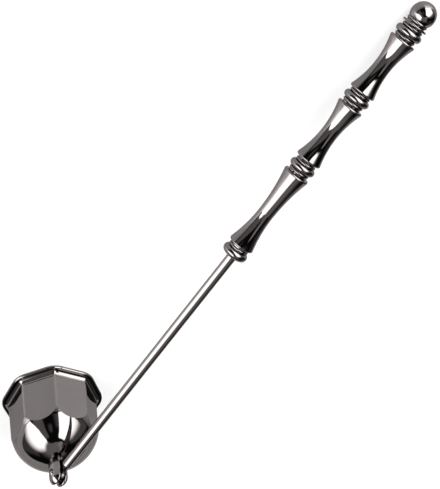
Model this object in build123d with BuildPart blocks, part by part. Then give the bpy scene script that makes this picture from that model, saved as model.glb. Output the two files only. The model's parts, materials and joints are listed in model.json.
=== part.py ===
from build123d import *
import os
from math import asin, cos, sin, sqrt

os.makedirs("parts", exist_ok=True)

# Candle snuffer standing on its mouth: Z is the bell's axis, the origin is the middle of the mouth.
# The stem leaves the hinge towards +X and slopes down until the ball at its end meets the table.

# Bell
lip_across_flats = 37.1
lip_edge_height = 1.4
lip_corner_radius = 8.0
lip_rounding = 0.55
cove_radius = 1.8
mouth_chamfer = 1.3
facet_count = 8
facet_across_flats = 31.8
facet_draft = 1.8
facet_edge_radius = 1.2
facet_turn = -13.0
dome_radius = 17.0
dome_centre_height = 14.5
apex_seat_diameter = 7.2
bell_wall = 1.2

# Clevis post on the bell's apex, with the stud and nut that hold it
post_diameter = 6.8
post_foot_rounding = 0.2
pin_rise = 5.9
round_top_rise = 1.2
slot_width = 1.9
slot_depth = 4.2
slot_edge_rounding = 0.4
stud_diameter = 2.5
stud_tail = 0.5
washer_diameter = 6.0
washer_thickness = 0.5
nut_across_flats = 5.0
nut_height = 2.0
nut_side_count = 6

# Hinge pin
pin_diameter = 2.0
pin_head_diameter = 2.8
pin_head_height = 0.8
pin_seat_distance = 2.85

# Stem
stem_diameter = 3.5
stem_nose_rounding = 0.8
stem_length = 107.2
tongue_thickness = 0.9
tongue_radius = 3.3
tongue_neck_width = 2.8
tie_diameter = 2.4
tie_grip = 3.4

# Handle
barrel_diameter = 9.5
barrel_edge_rounding = 0.55
barrel_lower_length = 30.75
barrel_middle_length = 22.2
barrel_upper_length = 20.6
waist_lower_diameter = 5.55
waist_upper_diameter = 5.75
waist_lower_share = 0.454
waist_middle_share = 0.50
waist_upper_share = 0.50
bead_inset = 0.15
bead_crown_length = 2.6
bead_neck_diameter = 6.6
collar_diameter = 7.4
collar_length = 1.0
groove_length = 0.55
short_groove_length = 0.15
end_first_groove = 0.3
end_last_groove = 0.2
bead_lower_crown_radius = 1.56
bead_lower_face_diameter = 5.1
ring_diameter = 8.7
ring_thickness = 0.7
ring_edge_rounding = 0.3
ring_hub_length = 0.4
ball_diameter = 8.5
ball_neck_diameter = 7.2

# Fits
fixed_clearance = 0.03
running_clearance = 0.06
swing_gap = 0.35
blind_gap = 0.3
overrun = 1.0

# Places along the bell's axis
apex_height = dome_centre_height + sqrt(dome_radius**2 - (apex_seat_diameter / 2) ** 2)
ceiling_height = apex_height - bell_wall
hinge_height = apex_height + pin_rise

# Places along the stem, from the hinge
ear_reach = round_top_rise + post_diameter / 2
stem_start = ear_reach + swing_gap
bead_diameter = barrel_diameter - 2 * bead_inset
bead_lower_start = stem_length
bead_lower_face_drop = (bead_diameter - bead_lower_face_diameter) / 2
bead_lower_neck_drop = (bead_diameter - bead_neck_diameter) / 2
bead_lower_top = bead_lower_start + sqrt(
    bead_lower_face_drop * (2 * bead_lower_crown_radius - bead_lower_face_drop)
)
bead_lower_neck = bead_lower_top + sqrt(
    bead_lower_neck_drop * (2 * bead_lower_crown_radius - bead_lower_neck_drop)
)
barrel_lower_start = bead_lower_neck + collar_length + groove_length
bead_middle_start = barrel_lower_start + barrel_lower_length
bead_length = bead_crown_length + 2 * collar_length
barrel_middle_start = bead_middle_start + groove_length + bead_length + groove_length
bead_upper_start = barrel_middle_start + barrel_middle_length
barrel_upper_start = bead_upper_start + groove_length + bead_length + short_groove_length
bead_end_start = barrel_upper_start + barrel_upper_length
ring_start = bead_end_start + end_first_groove + bead_length + end_last_groove
ball_start = ring_start + ring_thickness + ring_hub_length
ball_rise = sqrt(ball_diameter**2 - ball_neck_diameter**2) / 2
ball_centre = ball_start + collar_length + ball_rise

# The stem's slope, from the hinge down to the ball that rests on the table
stem_slope = asin((hinge_height - ball_diameter / 2) / ball_centre)
stem_direction = Vector(cos(stem_slope), 0, -sin(stem_slope))
hinge_point = Vector(0, 0, hinge_height)
side_plane = Plane(origin=hinge_point, x_dir=stem_direction, z_dir=(0, -1, 0))
stem_axis = Axis(hinge_point, stem_direction)
pin_axis = Axis(hinge_point, (0, 1, 0))
pin_plane = Plane.XZ.shift_origin(hinge_point)

tie_bore_radius = tie_diameter / 2 + fixed_clearance


def export(piece, label):
    piece.part.label = label
    export_step(piece.part, f"parts/{label}.step")


def eight_sided_body(inset):
    """The dome over eight drawn-in flats, with every face moved in by the inset."""
    with BuildPart() as body:
        with BuildSketch():
            RegularPolygon(
                facet_across_flats / 2 - inset,
                facet_count,
                major_radius=False,
                rotation=facet_turn,
            )
        extrude(amount=apex_height, taper=facet_draft)
        upright_edges = body.edges().filter_by(GeomType.LINE).filter_by(Plane.XY, reverse=True)
        fillet(upright_edges.group_by(SortBy.LENGTH)[-1], facet_edge_radius)
        with BuildSketch(Plane.XZ):
            with BuildLine():
                side = Line((lip_across_flats / 2, 0), (dome_radius - inset, dome_centre_height))
                top = apex_height - inset - dome_centre_height
                seat = sqrt((dome_radius - inset) ** 2 - top**2)
                RadiusArc(side @ 1, (seat, apex_height - inset), -(dome_radius - inset))
                Polyline((seat, apex_height - inset), (0, apex_height - inset), (0, 0), side @ 0)
            make_face()
        revolve(axis=Axis.Z, mode=Mode.INTERSECT)
    return body.part


# Bell: a shell with a spherical dome, eight flats and a flared lip with a hollow cove above it
bell_cavity = eight_sided_body(bell_wall)
with BuildPart() as bell:
    add(eight_sided_body(0))
    with BuildSketch():
        RegularPolygon(
            lip_across_flats / 2, facet_count, major_radius=False, rotation=facet_turn
        )
        fillet(vertices(), lip_corner_radius)
    extrude(amount=lip_edge_height)
    lip_top = faces().filter_by(Plane.XY).sort_by(Axis.Z)[1]
    fillet(lip_top.inner_wires()[0].edges(), cove_radius)
    lip_top = faces().filter_by(Plane.XY).sort_by(Axis.Z)[1]
    lip_bottom = faces().sort_by(Axis.Z)[0]
    fillet(lip_top.outer_wire().edges() + lip_bottom.outer_wire().edges(), lip_rounding)
    add(bell_cavity, mode=Mode.SUBTRACT)
    mouth = faces().sort_by(Axis.Z)[0]
    chamfer(mouth.inner_wires()[0].edges(), mouth_chamfer)
    with Locations((0, 0, apex_height)):
        Hole(stud_diameter / 2 + fixed_clearance, bell_wall + overrun)
export(bell, "bell")

# Clevis post: a round post with a ball-shaped top, slotted for the stem's tongue
with BuildPart() as clevis_post:
    with BuildSketch(pin_plane):
        with BuildLine():
            round_top = RadiusArc(
                (0, ear_reach), (post_diameter / 2, round_top_rise), post_diameter / 2
            )
            Polyline(
                round_top @ 1,
                (post_diameter / 2, -pin_rise),
                (0, -pin_rise),
                round_top @ 0,
            )
        make_face()
    revolve(axis=Axis.Z)
    fillet(edges().group_by(Axis.Z)[0], post_foot_rounding)
    with BuildSketch(Plane.XY.offset(hinge_height - slot_depth)):
        Rectangle(post_diameter + overrun, slot_width)
    extrude(amount=slot_depth + ear_reach + overrun, mode=Mode.SUBTRACT)
    slot_edges = faces().filter_by(Axis.Y).edges()
    fillet(slot_edges - slot_edges.group_by(Axis.Z)[0], slot_edge_rounding)
    with BuildSketch(pin_plane):
        Circle(pin_diameter / 2 + fixed_clearance)
    extrude(amount=post_diameter, both=True, mode=Mode.SUBTRACT)
    for side in (-1, 1):
        with BuildSketch(pin_plane.offset(side * pin_seat_distance)):
            Circle(pin_head_diameter / 2 + fixed_clearance)
        extrude(amount=side * overrun, mode=Mode.SUBTRACT)
    with BuildSketch(Plane.XY.offset(apex_height)):
        Circle(stud_diameter / 2)
    extrude(amount=-(bell_wall + washer_thickness + nut_height + stud_tail))
export(clevis_post, "clevis_post")

# Washer and nut inside the bell
with BuildPart() as apex_washer:
    with BuildSketch(Plane.XY.offset(ceiling_height)):
        Circle(washer_diameter / 2)
        Circle(stud_diameter / 2 + fixed_clearance, mode=Mode.SUBTRACT)
    extrude(amount=-washer_thickness)
export(apex_washer, "apex_washer")

with BuildPart() as apex_nut:
    with BuildSketch(Plane.XY.offset(ceiling_height - washer_thickness)):
        RegularPolygon(nut_across_flats / 2, nut_side_count, major_radius=False)
        Circle(stud_diameter / 2 + fixed_clearance, mode=Mode.SUBTRACT)
    extrude(amount=-nut_height)
export(apex_nut, "apex_nut")

# Hinge pin: a rivet with a domed head each side, seated in the post's spot faces
with BuildPart() as hinge_pin:
    with BuildSketch(Plane.XY.offset(hinge_height)):
        with BuildLine():
            tip = pin_seat_distance + pin_head_height
            head = TangentArc((0, tip), (pin_head_diameter / 2, pin_seat_distance), tangent=(1, 0))
            Polyline(
                head @ 1,
                (pin_diameter / 2, pin_seat_distance),
                (pin_diameter / 2, 0),
                (0, 0),
                head @ 0,
            )
        make_face()
        mirror(about=Plane.XZ)
    revolve(axis=pin_axis)
export(hinge_pin, "hinge_pin")

# Stem: tongue, round rod and the thinner tie that runs up through the handle
with BuildPart() as stem:
    with BuildSketch(side_plane):
        with BuildLine():
            nose = TangentArc(
                (stem_start, stem_diameter / 2 - stem_nose_rounding),
                (stem_start + stem_nose_rounding, stem_diameter / 2),
                tangent=(0, 1),
            )
            Polyline(
                nose @ 1,
                (stem_length, stem_diameter / 2),
                (stem_length, tie_diameter / 2),
                (ball_start + tie_grip, tie_diameter / 2),
                (ball_start + tie_grip, 0),
                (stem_start, 0),
                nose @ 0,
            )
        make_face()
    revolve(axis=stem_axis)
    with BuildSketch(side_plane):
        Circle(tongue_radius)
        neck_length = stem_start + stem_diameter / 2
        with Locations((neck_length / 2, 0)):
            Rectangle(neck_length, tongue_neck_width)
    extrude(amount=tongue_thickness / 2, both=True)
    with BuildSketch(side_plane):
        Circle(pin_diameter / 2 + running_clearance)
    extrude(amount=tongue_thickness, both=True, mode=Mode.SUBTRACT)
export(stem, "stem")


def barrel(label, start, length, waist_share, waist_diameter):
    """A concave barrel, waisted by two arcs, with rounded shoulders at both ends."""
    with BuildPart() as turning:
        with BuildSketch(side_plane):
            with BuildLine():
                waist = (start + waist_share * length, waist_diameter / 2)
                low = TangentArc(waist, (start, barrel_diameter / 2), tangent=(-1, 0))
                high = TangentArc(waist, (start + length, barrel_diameter / 2), tangent=(1, 0))
                Polyline(low @ 1, (start, tie_bore_radius), (start + length, tie_bore_radius), high @ 1)
            make_face()
            fillet(vertices().group_by(Axis.Y)[-1], barrel_edge_rounding)
        revolve(axis=stem_axis)
    export(turning, label)


def bead(label, start, first_groove, last_groove):
    """A rounded bead between two fine collars, with a groove beyond each collar."""
    low_start = start + first_groove
    crown_start = low_start + collar_length
    crown_end = crown_start + bead_crown_length
    high_end = crown_end + collar_length
    end = high_end + last_groove
    neck = bead_neck_diameter / 2
    with BuildPart() as turning:
        with BuildSketch(side_plane):
            with BuildLine():
                low = ThreePointArc(
                    (low_start, neck),
                    (low_start + collar_length / 2, collar_diameter / 2),
                    (crown_start, neck),
                )
                crown = ThreePointArc(
                    low @ 1,
                    (crown_start + bead_crown_length / 2, bead_diameter / 2),
                    (crown_end, neck),
                )
                high = ThreePointArc(
                    crown @ 1,
                    (crown_end + collar_length / 2, collar_diameter / 2),
                    (high_end, neck),
                )
                Polyline(
                    high @ 1,
                    (end, neck),
                    (end, tie_bore_radius),
                    (start, tie_bore_radius),
                    (start, neck),
                    low @ 0,
                )
            make_face()
        revolve(axis=stem_axis)
    export(turning, label)


# Lower bead: rounded down to the stem on one side, with a collar and groove on the other
with BuildPart() as bead_lower:
    with BuildSketch(side_plane):
        with BuildLine():
            crown = ThreePointArc(
                (bead_lower_start, bead_lower_face_diameter / 2),
                (bead_lower_top, bead_diameter / 2),
                (bead_lower_neck, bead_neck_diameter / 2),
            )
            collar = ThreePointArc(
                crown @ 1,
                (bead_lower_neck + collar_length / 2, collar_diameter / 2),
                (bead_lower_neck + collar_length, bead_neck_diameter / 2),
            )
            Polyline(
                collar @ 1,
                (barrel_lower_start, bead_neck_diameter / 2),
                (barrel_lower_start, tie_bore_radius),
                (bead_lower_start, tie_bore_radius),
                crown @ 0,
            )
        make_face()
    revolve(axis=stem_axis)
export(bead_lower, "bead_lower")

barrel(
    "barrel_lower",
    barrel_lower_start,
    barrel_lower_length,
    waist_lower_share,
    waist_lower_diameter,
)
bead("bead_middle", bead_middle_start, groove_length, groove_length)
barrel(
    "barrel_middle",
    barrel_middle_start,
    barrel_middle_length,
    waist_middle_share,
    waist_upper_diameter,
)
bead("bead_upper", bead_upper_start, groove_length, short_groove_length)
barrel(
    "barrel_upper",
    barrel_upper_start,
    barrel_upper_length,
    waist_upper_share,
    waist_upper_diameter,
)
bead("bead_end", bead_end_start, end_first_groove, end_last_groove)

# Finial ring: a thin disc with a short hub on the ball's side
with BuildPart() as finial_ring:
    with BuildSketch(side_plane):
        with Locations((ring_start, 0)):
            Rectangle(ring_thickness, ring_diameter / 2, align=Align.MIN)
            fillet(vertices().group_by(Axis.Y)[-1], ring_edge_rounding)
            Rectangle(ball_start - ring_start, bead_neck_diameter / 2, align=Align.MIN)
            Rectangle(ball_start - ring_start, tie_bore_radius, align=Align.MIN, mode=Mode.SUBTRACT)
    revolve(axis=stem_axis)
export(finial_ring, "finial_ring")

# Ball finial, screwed on the tie's end, with a fine collar before the ball
with BuildPart() as ball_finial:
    with BuildSketch(side_plane):
        with BuildLine():
            collar_end = ball_start + collar_length
            collar = ThreePointArc(
                (ball_start, bead_neck_diameter / 2),
                (ball_start + collar_length / 2, collar_diameter / 2),
                (collar_end, bead_neck_diameter / 2),
            )
            ball = ThreePointArc(
                (collar_end, ball_neck_diameter / 2),
                (ball_centre, ball_diameter / 2),
                (ball_centre + ball_diameter / 2, 0),
            )
            bore_end = ball_start + tie_grip + blind_gap
            Line(collar @ 1, ball @ 0)
            Polyline(
                ball @ 1,
                (bore_end, 0),
                (bore_end, tie_bore_radius),
                (ball_start, tie_bore_radius),
                collar @ 0,
            )
        make_face()
    revolve(axis=stem_axis)
export(ball_finial, "ball_finial")
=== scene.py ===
import json
import math

import bpy
from mathutils import Matrix, Vector

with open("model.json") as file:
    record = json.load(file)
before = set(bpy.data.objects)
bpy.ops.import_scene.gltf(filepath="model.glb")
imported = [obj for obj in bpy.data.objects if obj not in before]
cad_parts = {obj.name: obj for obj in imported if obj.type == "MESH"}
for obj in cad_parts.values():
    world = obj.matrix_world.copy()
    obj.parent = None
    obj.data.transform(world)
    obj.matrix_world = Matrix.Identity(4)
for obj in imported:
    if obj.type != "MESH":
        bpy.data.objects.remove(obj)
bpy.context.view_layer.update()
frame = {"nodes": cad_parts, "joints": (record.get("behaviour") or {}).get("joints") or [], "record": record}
nodes = frame["nodes"]
scene = bpy.context.scene

# Camera: seen from over the handle's side, rolled until the bell hangs at the lower left
IMAGE_WIDTH = 440
IMAGE_HEIGHT = 489
SENSOR = 36.0
FOCAL_PIXELS = 1004.9
CLIP_START = 0.01
CLIP_END = 20
HINGE_DISTANCE = 0.36826
HINGE_PIXEL = (58.39, 475.09)
CAMERA_ELEVATION = math.radians(48.507)
CAMERA_AZIMUTH = math.radians(52.028)
CAMERA_ROLL = math.radians(163.888)
HINGE = Vector(frame["joints"][0]["pos_m"])

# Bell: creases between its eight flats, the flats' distance from the axis, and the dome over them
CREASE_STEP = math.radians(45)
CREASE_TURN = math.radians(32)
FLAT_REACH = 0.0159
DOME_HEIGHT = 0.0145
DOME_RADIUS = 0.017

# Painted highlight lines on the bell, standing in for light caught by its rounded creases and scallops:
# where each starts to fade and is gone, and the heights and radii it keeps to
CREASE_FADE = (0.0001, 0.0008)
CREASE_HIGHLIGHT = 0.5
CREASE_HEIGHTS = ((0.0028, 0.0034), (0.0185, 0.017))
CREASE_RADII = ((0.0158, 0.0162), (0.0205, 0.0195))
SCALLOP_FADE = (0.00003, 0.00025)
SCALLOP_HIGHLIGHT = 0.45
SCALLOP_FOOT = (0.0148, 0.0158)

# Plated metal: scale, detail and roughness of each noise, and the part of its range that shows
CLOUD_NOISE = (90, 4, 0.5)
CLOUD_RANGE = (0.35, 0.65)
GLOSS_NOISE = (240, 5, 0.6)
GLOSS_RANGE = (0.3, 0.7)
GRAIN_NOISE = (500, 3, 0.5)
GRAIN_DEPTH = 0.00005
EDGE_RANGE = (0.53, 0.62)
EDGE_WEAR = 0.5

# Table: its size, tint and gloss, and how far what the camera and reflections see of it is lifted
TABLE_RADIUS = 2.4
TABLE_SIDES = 96
TABLE_CENTRE = (0.05, 0, 0)
TABLE_NOISE = (40, 4, 0.5)
TABLE_RANGE = (0.3, 0.7)
TABLE_DARK = (0.36, 0.36, 0.36)
TABLE_PALE = (0.38, 0.38, 0.38)
TABLE_COAT_IOR = 1.42
TABLE_COAT_ROUGHNESS = 0.12
TABLE_SEEN = 0.6
TABLE_MIRRORED = 0.4

# Light panels round the bell: azimuths from +X and elevations in degrees, distances in metres
PANEL_CENTRE = Vector((0, 0, 0.025))
PANEL_STEPS = 48
SOFTBOX = 6.3
BELOW = -3
ZENITH = 89.9


def aim_camera():
    """Places the camera so that the hinge falls on its pixel."""
    towards = Vector((
        math.cos(CAMERA_ELEVATION) * math.cos(CAMERA_AZIMUTH),
        math.cos(CAMERA_ELEVATION) * math.sin(CAMERA_AZIMUTH),
        math.sin(CAMERA_ELEVATION),
    ))
    level = (-towards).cross(Vector((0, 0, 1))).normalized()
    above = level.cross(-towards)
    right = level * math.cos(CAMERA_ROLL) + above * math.sin(CAMERA_ROLL)
    up = above * math.cos(CAMERA_ROLL) - level * math.sin(CAMERA_ROLL)
    scale = HINGE_DISTANCE / FOCAL_PIXELS
    place = HINGE + towards * HINGE_DISTANCE
    place -= right * (HINGE_PIXEL[0] - IMAGE_WIDTH / 2) * scale
    place += up * (HINGE_PIXEL[1] - IMAGE_HEIGHT / 2) * scale
    data = bpy.data.cameras.new("camera")
    data.sensor_width = SENSOR
    data.lens = SENSOR * FOCAL_PIXELS / IMAGE_HEIGHT
    data.clip_start = CLIP_START
    data.clip_end = CLIP_END
    camera = bpy.data.objects.new("camera", data)
    turn = Matrix((right, up, towards)).transposed().to_4x4()
    camera.matrix_world = Matrix.Translation(place) @ turn
    scene.collection.objects.link(camera)
    scene.camera = camera


class Graph:
    """A material's node tree with short ways to add and join nodes."""

    def __init__(self, name):
        self.material = bpy.data.materials.new(name)
        self.material.use_nodes = True
        self.tree = self.material.node_tree
        self.tree.nodes.clear()
        self.output = self.add("ShaderNodeOutputMaterial")

    def add(self, kind, **settings):
        node = self.tree.nodes.new(kind)
        for key, value in settings.items():
            setattr(node, key, value)
        return node

    def join(self, source, target):
        self.tree.links.new(source, target)

    def noise(self, scale, detail, roughness):
        place = self.add("ShaderNodeTexCoord")
        noise = self.add("ShaderNodeTexNoise")
        noise.inputs["Scale"].default_value = scale
        noise.inputs["Detail"].default_value = detail
        noise.inputs["Roughness"].default_value = roughness
        self.join(place.outputs["Object"], noise.inputs["Vector"])
        return noise.outputs["Fac"]

    def ramp(self, source, low, high, to_low, to_high, smooth=False):
        node = self.add("ShaderNodeMapRange")
        if smooth:
            node.interpolation_type = "SMOOTHSTEP"
        for name, value in (
            ("From Min", low), ("From Max", high), ("To Min", to_low), ("To Max", to_high),
        ):
            node.inputs[name].default_value = value
        self.join(source, node.inputs["Value"])
        return node.outputs["Result"]

    def math(self, operation, first, second=0):
        node = self.add("ShaderNodeMath", operation=operation)
        for socket, value in zip(node.inputs, (first, second)):
            if isinstance(value, (int, float)):
                socket.default_value = value
            else:
                self.join(value, socket)
        return node.outputs[0]

    def mix(self, factor, first, second):
        node = self.add("ShaderNodeMix", data_type="RGBA")
        self.join(factor, node.inputs["Factor"])
        for socket, value in zip((node.inputs[6], node.inputs[7]), (first, second)):
            if isinstance(value, tuple):
                socket.default_value = (*value, 1)
            else:
                self.join(value, socket)
        return node.outputs[2]


def crease_highlight(graph):
    """Painted highlight: paler lines along the bell's upright creases and along the scallops under its dome,
    standing in for light caught by the rounded creases.
    """
    place = graph.add("ShaderNodeTexCoord")
    split = graph.add("ShaderNodeSeparateXYZ")
    graph.join(place.outputs["Object"], split.inputs["Vector"])
    x, y, z = split.outputs
    turn = graph.math("SUBTRACT", graph.math("ARCTAN2", y, x), CREASE_TURN)
    turn = graph.math("PINGPONG", turn, CREASE_STEP / 2)
    flat = graph.math("ADD", graph.math("MULTIPLY", x, x), graph.math("MULTIPLY", y, y))
    radius = graph.math("SQRT", flat)
    crease = graph.ramp(graph.math("MULTIPLY", turn, radius), *CREASE_FADE, CREASE_HIGHLIGHT, 0, smooth=True)
    for value, limits in ((z, CREASE_HEIGHTS), (radius, CREASE_RADII)):
        for outside, inside in limits:
            crease = graph.math("MULTIPLY", crease, graph.ramp(value, outside, inside, 0, 1))
    rise = graph.math("SUBTRACT", z, DOME_HEIGHT)
    reach = graph.math("SQRT", graph.math("ADD", flat, graph.math("MULTIPLY", rise, rise)))
    to_dome = graph.math("ABSOLUTE", graph.math("SUBTRACT", reach, DOME_RADIUS))
    across = graph.math("COSINE", graph.math("SUBTRACT", CREASE_STEP / 2, turn))
    to_flat = graph.math("SUBTRACT", graph.math("MULTIPLY", across, radius), FLAT_REACH)
    to_flat = graph.math("ABSOLUTE", to_flat)
    to_both = graph.math("MAXIMUM", to_dome, to_flat)
    scallop = graph.ramp(to_both, *SCALLOP_FADE, SCALLOP_HIGHLIGHT, 0, smooth=True)
    scallop = graph.math("MULTIPLY", scallop, graph.ramp(z, *SCALLOP_FOOT, 0, 1))
    return graph.math("MAXIMUM", crease, scallop)


def plated_metal(name, dark, pale, worn_and_highlight, edge_tint, roughness, grain):
    """Polished plate: cloudy tint, paler worn edges, painted highlight lines along the bell's creases and
    scallops, uneven gloss and a faint polishing grain.
    """
    graph = Graph(name)
    shader = graph.add("ShaderNodeBsdfPrincipled")
    shader.inputs["Metallic"].default_value = 1
    shader.inputs["Specular Tint"].default_value = (*edge_tint, 1)
    cloud = graph.ramp(graph.noise(*CLOUD_NOISE), *CLOUD_RANGE, 0, 1)
    tint = graph.mix(cloud, dark, pale)
    geometry = graph.add("ShaderNodeNewGeometry")
    edge = graph.ramp(geometry.outputs["Pointiness"], *EDGE_RANGE, 0, EDGE_WEAR)
    # The painted highlight lines along the bell's creases and scallops join the worn edges here and take the
    # same paler colour.
    edge = graph.math("MAXIMUM", edge, crease_highlight(graph))
    graph.join(graph.mix(edge, tint, worn_and_highlight), shader.inputs["Base Color"])
    gloss = graph.ramp(graph.noise(*GLOSS_NOISE), *GLOSS_RANGE, *roughness)
    graph.join(gloss, shader.inputs["Roughness"])
    bump = graph.add("ShaderNodeBump")
    bump.inputs["Strength"].default_value = grain
    bump.inputs["Distance"].default_value = GRAIN_DEPTH
    graph.join(graph.noise(*GRAIN_NOISE), bump.inputs["Height"])
    graph.join(bump.outputs["Normal"], shader.inputs["Normal"])
    graph.join(shader.outputs["BSDF"], graph.output.inputs["Surface"])
    return graph.material


def panel_material(name, strength, soft):
    """Plain light that fades to clear towards the panel's four sides by the soft shares."""
    graph = Graph(name)
    place = graph.add("ShaderNodeUVMap", uv_map="UVMap")
    split = graph.add("ShaderNodeSeparateXYZ")
    graph.join(place.outputs["UV"], split.inputs["Vector"])
    light = graph.add("ShaderNodeEmission")
    light.inputs["Strength"].default_value = strength
    clear = graph.add("ShaderNodeBsdfTransparent")
    both = graph.add("ShaderNodeMixShader")
    cover = 1
    for axis, low, high in ((0, soft[0], soft[1]), (1, soft[2], soft[3])):
        for start, end in ((0, low), (1, 1 - high)):
            if start != end:
                fade = graph.ramp(split.outputs[axis], start, end, 0, 1, smooth=True)
                cover = graph.math("MULTIPLY", fade, cover)
    if cover == 1:
        both.inputs["Fac"].default_value = 1
    else:
        graph.join(cover, both.inputs["Fac"])
    graph.join(clear.outputs["BSDF"], both.inputs[1])
    graph.join(light.outputs["Emission"], both.inputs[2])
    graph.join(both.outputs["Shader"], graph.output.inputs["Surface"])
    return graph.material


def between(values, share):
    """Values between the neighbours in an evenly spaced list."""
    place = share * (len(values) - 1)
    index = min(int(place), len(values) - 2)
    rest = place - index
    return [a + (b - a) * rest for a, b in zip(values[index], values[index + 1])]


def upright(azimuths, feet, heads):
    """Two rows of panel points, each head over its foot."""
    return [list(zip(azimuths, feet)), list(zip(azimuths, heads))]


def panel(name, rows, strength, soft, distance):
    """A curved light panel through rows of (azimuth, elevation) points, from its foot up.

    A point may add its own distance from the bell.
    """
    rows = [[(*point, distance)[:3] for point in line] for line in rows]
    points = []
    corners = []
    for row in range(PANEL_STEPS + 1):
        v = row / PANEL_STEPS
        for column in range(PANEL_STEPS + 1):
            u = column / PANEL_STEPS
            azimuth, elevation, away = between([between(line, u) for line in rows], v)
            azimuth = math.radians(azimuth)
            elevation = math.radians(elevation)
            points.append(PANEL_CENTRE + away * Vector((
                math.cos(elevation) * math.cos(azimuth),
                math.cos(elevation) * math.sin(azimuth),
                math.sin(elevation),
            )))
            corners.append((u, v))
    width = PANEL_STEPS + 1
    faces = [
        (r * width + c, (r + 1) * width + c, (r + 1) * width + c + 1, r * width + c + 1)
        for r in range(PANEL_STEPS)
        for c in range(PANEL_STEPS)
    ]
    mesh = bpy.data.meshes.new(name)
    mesh.from_pydata(points, [], faces)
    uv = mesh.uv_layers.new(name="UVMap")
    for loop in mesh.loops:
        uv.data[loop.index].uv = corners[loop.vertex_index]
    mesh.materials.append(panel_material(name, strength, soft))
    card = bpy.data.objects.new(name, mesh)
    card.visible_camera = False
    card.visible_shadow = False
    scene.collection.objects.link(card)


def table_material():
    """Pale table, glossy in reflections. What the camera and reflections see is lifted to white."""
    graph = Graph("table")
    shader = graph.add("ShaderNodeBsdfPrincipled")
    grain = graph.ramp(graph.noise(*TABLE_NOISE), *TABLE_RANGE, 0, 1)
    graph.join(graph.mix(grain, TABLE_DARK, TABLE_PALE), shader.inputs["Base Color"])
    shader.inputs["Specular IOR Level"].default_value = 0
    path = graph.add("ShaderNodeLightPath")
    graph.join(path.outputs["Is Glossy Ray"], shader.inputs["Coat Weight"])
    shader.inputs["Coat IOR"].default_value = TABLE_COAT_IOR
    shader.inputs["Coat Roughness"].default_value = TABLE_COAT_ROUGHNESS
    bounced = graph.math("ADD", path.outputs["Is Glossy Ray"], path.outputs["Is Transmission Ray"])
    bounced = graph.math("MULTIPLY", bounced, TABLE_MIRRORED)
    direct = graph.math("MULTIPLY", path.outputs["Is Camera Ray"], TABLE_SEEN)
    shader.inputs["Emission Color"].default_value = (1, 1, 1, 1)
    graph.join(graph.math("ADD", bounced, direct), shader.inputs["Emission Strength"])
    graph.join(shader.outputs["BSDF"], graph.output.inputs["Surface"])
    return graph.material


def make_table():
    bpy.ops.mesh.primitive_circle_add(
        vertices=TABLE_SIDES, radius=TABLE_RADIUS, fill_type="NGON", location=TABLE_CENTRE
    )
    floor = bpy.context.object
    floor.name = "table"
    floor.data.materials.append(table_material())


def make_world():
    world = bpy.data.worlds.new("world")
    scene.world = world
    world.use_nodes = True
    background = world.node_tree.nodes["Background"]
    background.inputs["Color"].default_value = (1, 1, 1, 1)
    background.inputs["Strength"].default_value = 1


def make_softboxes():
    """The two large lights, whose edges show in the dome and along the handle."""
    panel(
        "softbox_right",
        [
            [(-14, 0), (-6, 0, 4), (26.5, 0, 0.8)],
            [(-22, 6), (-8, 6, 4), (26.5, 6, 0.8)],
            [(-40, 12), (-14, 12, 4), (26, 12, 0.8)],
            [(-43, 30), (-18, 30, 4), (24.5, 30, 0.72)],
            [(-46, 50), (-18, 50, 4), (21.5, 50, 0.72)],
            [(-46, 59), (-20, 59), (21.5, 59, 1.6)],
            [(-42, 63), (-18, 63), (20, 63, 4)],
            [(-34, 68), (-14, 68), (14, 68)],
        ],
        strength=SOFTBOX,
        soft=(0.5, 0.03, 0.02, 0.14),
        distance=8,
    )
    panel(
        "softbox_left",
        [
            [(97, -1), (102, -1), (116, -1)],
            [(94.5, 5), (103, 5), (123, 5)],
            [(89.5, 15), (108, 15), (136, 15)],
            [(84.5, 30), (118, 30), (147, 30)],
            [(83.5, 50), (129, 50), (162, 50)],
            [(85, 60, 0.72), (125, 60, 0.72), (166, 60, 0.72)],
            [(96, 70, 0.6), (125, 70, 0.6), (160, 70, 0.6)],
        ],
        strength=SOFTBOX,
        soft=(0.03, 0.5, 0.02, 0.16),
        distance=0.85,
    )


def make_spill():
    """Dim light beside the softboxes, between them and on the far right."""
    panel(
        "spill_far",
        [[(-60, 0), (-50, 0), (-28, 0)], [(-64, 60), (-54, 60), (-28, 60)]],
        strength=0.24,
        soft=(0.5, 0, 0.05, 0.1),
        distance=9,
    )
    panel(
        "spill_near",
        [[(22, 3), (28, 3), (44, 3)], [(18, 45), (24, 45), (36, 45)]],
        strength=0.26,
        soft=(0, 0.5, 0.1, 0.3),
        distance=2.05,
    )
    panel(
        "spill_left",
        [
            [(125, 6), (148, 6), (168, 6)],
            [(130, 30), (150, 30), (168, 30)],
            [(140, 46), (160, 46), (178, 46)],
        ],
        strength=0.16,
        soft=(0, 0.4, 0.1, 0.1),
        distance=1.3,
    )
    panel(
        "strip",
        [
            [(63, 3), (69, 3), (97, 3)],
            [(63, 30), (69, 30), (92, 30)],
            [(64, 62), (70, 62), (92, 62)],
        ],
        strength=0.33,
        soft=(0.5, 0, 0.1, 0.1),
        distance=1.2,
    )
    panel(
        "spill_right",
        upright((-118, -95, -72), [8] * 3, [50] * 3),
        strength=0.09,
        soft=(0.2, 0.2, 0.2, 0.2),
        distance=3,
    )
    panel(
        "fill",
        upright((41, 50, 59), [24] * 3, [54] * 3),
        strength=0.2,
        soft=(0.4, 0.4, 0.4, 0.4),
        distance=1.2,
    )


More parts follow.
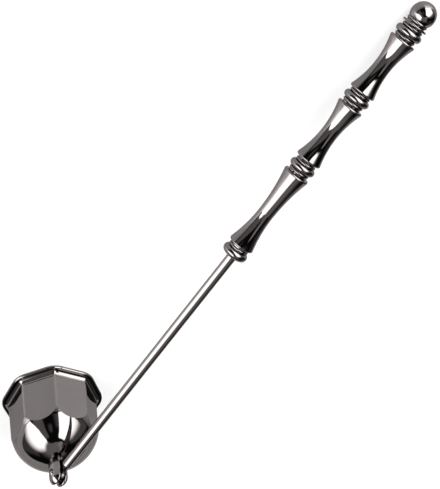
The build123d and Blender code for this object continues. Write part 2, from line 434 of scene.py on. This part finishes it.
def make_room():
    """The pale ceiling, the low sweep behind the object and the dark room round them."""
    panel(
        "ceiling",
        upright((-50, -10, 30, 70, 90, 250, 310), (73, 74.5, 76.5, 76.5, 72, 72, 73), [ZENITH] * 7),
        strength=0.47,
        soft=(0, 0, 0.1, 0),
        distance=8.6,
    )
    panel(
        "ceiling_far",
        upright((82, 110, 180, 250, 262), (44, 44, 46, 50, 56), [76] * 5),
        strength=0.47,
        soft=(0.15, 0.2, 0.8, 0),
        distance=8.8,
    )
    panel(
        "ceiling_glow",
        [[(-62, 71), (-30, 70), (5, 72)], [(-100, 86), (-30, 86), (30, 86)]],
        strength=0.8,
        soft=(0.3, 0.3, 0.15, 0.4),
        distance=8.4,
    )
    panel(
        "sweep",
        upright(
            (112, 130, 150, 160, 170, 180, 190, 203, 215, 240, 262, 276),
            [BELOW] * 12,
            (6, 9, 8, 9.5, 16, 24.5, 31, 31, 28, 19, 12, 8),
        ),
        strength=0.95,
        soft=(0.03, 0.1, 0, 0.12),
        distance=2.2,
    )
    panel(
        "surround",
        upright((0, 180, 360), [BELOW] * 3, [ZENITH] * 3),
        strength=0.012,
        soft=(0, 0, 0, 0),
        distance=10,
    )


black_nickel = plated_metal(
    "black_nickel",
    dark=(0.175, 0.1625, 0.1595),
    pale=(0.192, 0.178, 0.1745),
    # paler colour for the worn edges and for the painted highlight lines along the bell's creases
    worn_and_highlight=(0.26, 0.244, 0.239),
    edge_tint=(0.62, 0.6, 0.595),
    roughness=(0.03, 0.055),
    grain=0.02,
)
zinc_steel = plated_metal(
    "zinc_steel",
    dark=(0.52, 0.53, 0.54),
    pale=(0.62, 0.62, 0.61),
    worn_and_highlight=(0.70, 0.70, 0.69),
    edge_tint=(0.9, 0.9, 0.9),
    roughness=(0.25, 0.4),
    grain=0.3,
)
finishes = {"black_nickel": black_nickel, "zinc_steel": zinc_steel}
for part in frame["record"]["subparts"]:
    mesh = nodes[part["node"]].data
    mesh.materials.clear()
    mesh.materials.append(finishes[part["material_slot"]])

make_world()
make_table()
make_softboxes()
make_spill()
make_room()
aim_camera()
scene.view_settings.view_transform = "Standard"
